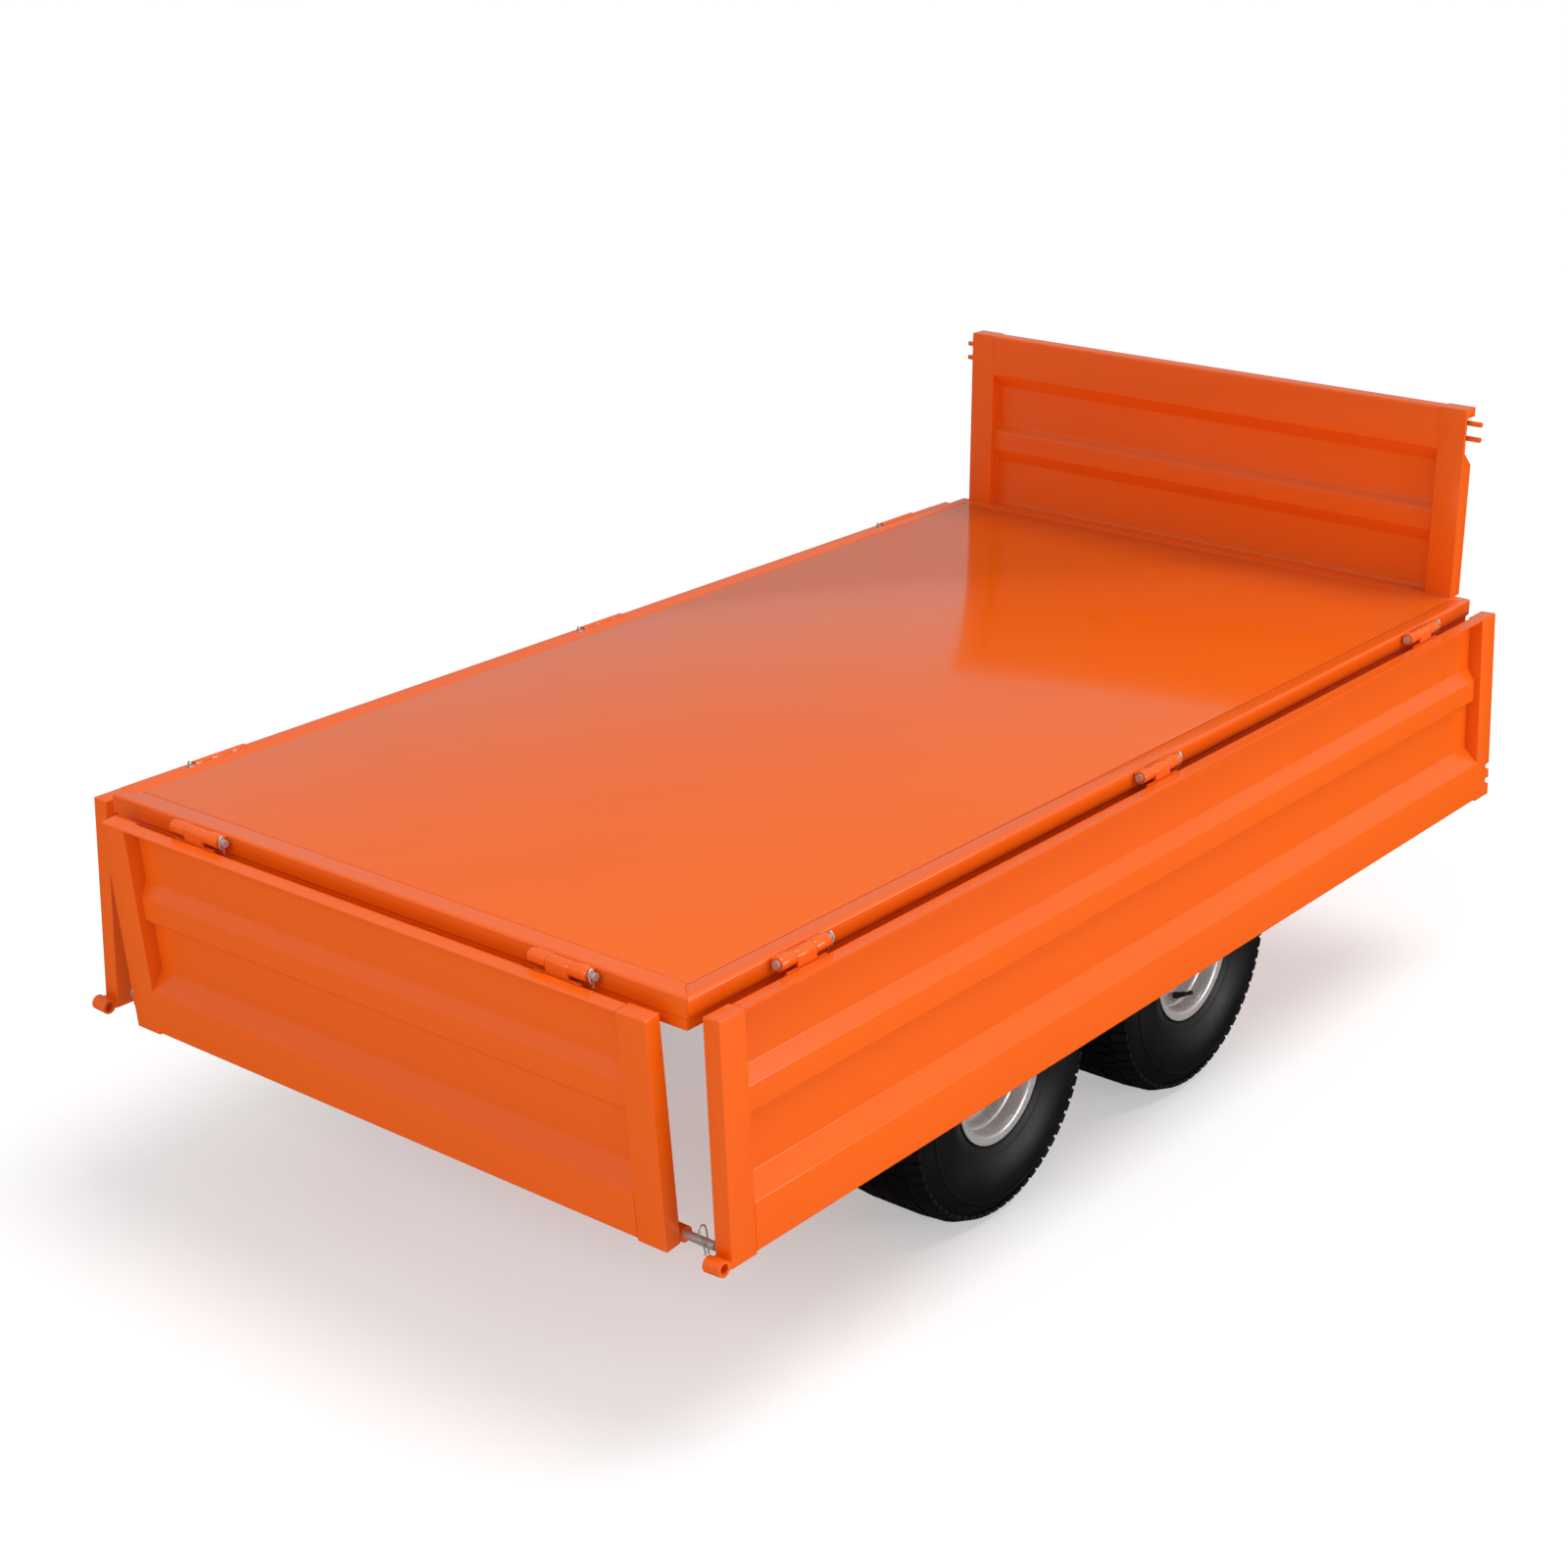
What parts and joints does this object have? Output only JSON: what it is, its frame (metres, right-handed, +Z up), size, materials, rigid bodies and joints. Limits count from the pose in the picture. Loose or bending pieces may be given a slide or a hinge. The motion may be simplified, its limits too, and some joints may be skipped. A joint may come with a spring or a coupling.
{
  "type": "drop-side trailer",
  "caption": "Flat-bed utility trailer with fixed headboard, drop sides and tail, walking-beam bogies with flotation tyres, prop stand and swivelling tow eye.",
  "frame": {"origin": "on the ground under the centre of the trailer's length and width, sides and tail hanging", "axes": "+Y the way it is towed, +X the trailer's right-hand side, +Z up"},
  "size_m": [1.3658, 3.4931, 1.099],
  "materials": {
    "orange_paint": "gloss",
    "zinc_steel": "satin",
    "rim_silver": "gloss",
    "tyre_rubber": "matte"
  },
  "bodies": {
    "frame": {"side_rail_right": "orange_paint", "side_rail_left": "orange_paint", "rear_rail": "orange_paint", "front_rail": "orange_paint", "floor_sheet": "orange_paint", "crossmembers": "orange_paint", "headboard_posts": "orange_paint", "headboard_keepers": "orange_paint", "headboard_sheet": "orange_paint", "hinge_knuckles": "orange_paint", "hinge_pins": "zinc_steel", "hinge_clips": "zinc_steel", "chassis_rails": "orange_paint", "axle_pedestals": "orange_paint", "chassis_crossmembers": "orange_paint", "drawbar": "orange_paint", "cross_axle": "orange_paint", "axle_end_caps": "zinc_steel", "drop_plate": "orange_paint", "coupler_housing": "orange_paint", "coupler_bolts": "zinc_steel", "stand_clamp": "zinc_steel"},
    "side_board_right": {"side_sheet_right": "orange_paint", "side_posts_right": "orange_paint", "side_leaves_right": "orange_paint", "side_eye_right": "orange_paint"},
    "side_board_left": {"side_sheet_left": "orange_paint", "side_posts_left": "orange_paint", "side_leaves_left": "orange_paint", "side_eye_left": "orange_paint"},
    "tail_board": {"tail_sheet": "orange_paint", "tail_posts": "orange_paint", "tail_leaves": "orange_paint", "tail_pin_bosses": "orange_paint", "tail_lock_pins": "zinc_steel", "tail_lock_clips": "zinc_steel"},
    "bogie_right": {"bogie_beam_right": "orange_paint", "axle_nuts_right": "zinc_steel"},
    "bogie_left": {"bogie_beam_left": "orange_paint", "axle_nuts_left": "zinc_steel"},
    "wheel_front_right": {"tyre_front_right": "tyre_rubber", "rim_front_right": "rim_silver", "hub_front_right": "zinc_steel", "wheel_nuts_front_right": "zinc_steel"},
    "wheel_front_left": {"tyre_front_left": "tyre_rubber", "rim_front_left": "rim_silver", "hub_front_left": "zinc_steel", "wheel_nuts_front_left": "zinc_steel"},
    "wheel_rear_right": {"tyre_rear_right": "tyre_rubber", "rim_rear_right": "rim_silver", "hub_rear_right": "zinc_steel", "wheel_nuts_rear_right": "zinc_steel"},
    "wheel_rear_left": {"tyre_rear_left": "tyre_rubber", "rim_rear_left": "rim_silver", "hub_rear_left": "zinc_steel", "wheel_nuts_rear_left": "zinc_steel"},
    "tow_eye": {"tow_eye": "zinc_steel", "eye_nut": "zinc_steel"},
    "stand_leg": {"stand_leg": "zinc_steel"},
    "stand_screw": {"stand_screw": "zinc_steel"}
  },
  "joints": [
    {"name": "side_right_hinge", "type": "hinge", "parent": "frame", "child": "side_board_right", "pos_m": [0.6215, -0.52044, 0.713], "axis": [0, -1, 0], "range_deg": [0, 177]},
    {"name": "side_left_hinge", "type": "hinge", "parent": "frame", "child": "side_board_left", "pos_m": [-0.6215, -0.52044, 0.713], "axis": [0, 1, 0], "range_deg": [0, 177]},
    {"name": "tail_hinge", "type": "hinge", "parent": "frame", "child": "tail_board", "pos_m": [0, -1.70694, 0.713], "axis": [-1, 0, 0], "range_deg": [0, 185.67]},
    {"name": "bogie_right_pivot", "type": "hinge", "parent": "frame", "child": "bogie_right", "pos_m": [0.278, -0.55544, 0.252], "axis": [1, 0, 0], "range_deg": [-10, 10]},
    {"name": "bogie_left_pivot", "type": "hinge", "parent": "frame", "child": "bogie_left", "pos_m": [-0.278, -0.55544, 0.252], "axis": [1, 0, 0], "range_deg": [-10, 10]},
    {"name": "wheel_front_right_spin", "type": "hinge", "parent": "bogie_right", "child": "wheel_front_right", "pos_m": [0.455, -0.25294, 0.252], "axis": [1, 0, 0], "continuous": true},
    {"name": "wheel_front_left_spin", "type": "hinge", "parent": "bogie_left", "child": "wheel_front_left", "pos_m": [-0.455, -0.25294, 0.252], "axis": [1, 0, 0], "continuous": true},
    {"name": "wheel_rear_right_spin", "type": "hinge", "parent": "bogie_right", "child": "wheel_rear_right", "pos_m": [0.455, -0.85794, 0.252], "axis": [1, 0, 0], "continuous": true},
    {"name": "wheel_rear_left_spin", "type": "hinge", "parent": "bogie_left", "child": "wheel_rear_left", "pos_m": [-0.455, -0.85794, 0.252], "axis": [1, 0, 0], "continuous": true},
    {"name": "tow_eye_swivel", "type": "hinge", "parent": "frame", "child": "tow_eye", "pos_m": [0, 1.70456, 0.43], "axis": [0, 1, 0], "continuous": true},
    {"name": "stand_slide", "type": "slide", "parent": "frame", "child": "stand_leg", "axis": [0, 0, 1], "range_m": [0, 0.25]},
    {"name": "stand_screw_turn", "type": "hinge", "parent": "frame", "child": "stand_screw", "pos_m": [0.1004, 1.36456, 0.536], "axis": [1, 0, 0], "range_deg": [-180, 180]}
  ]
}
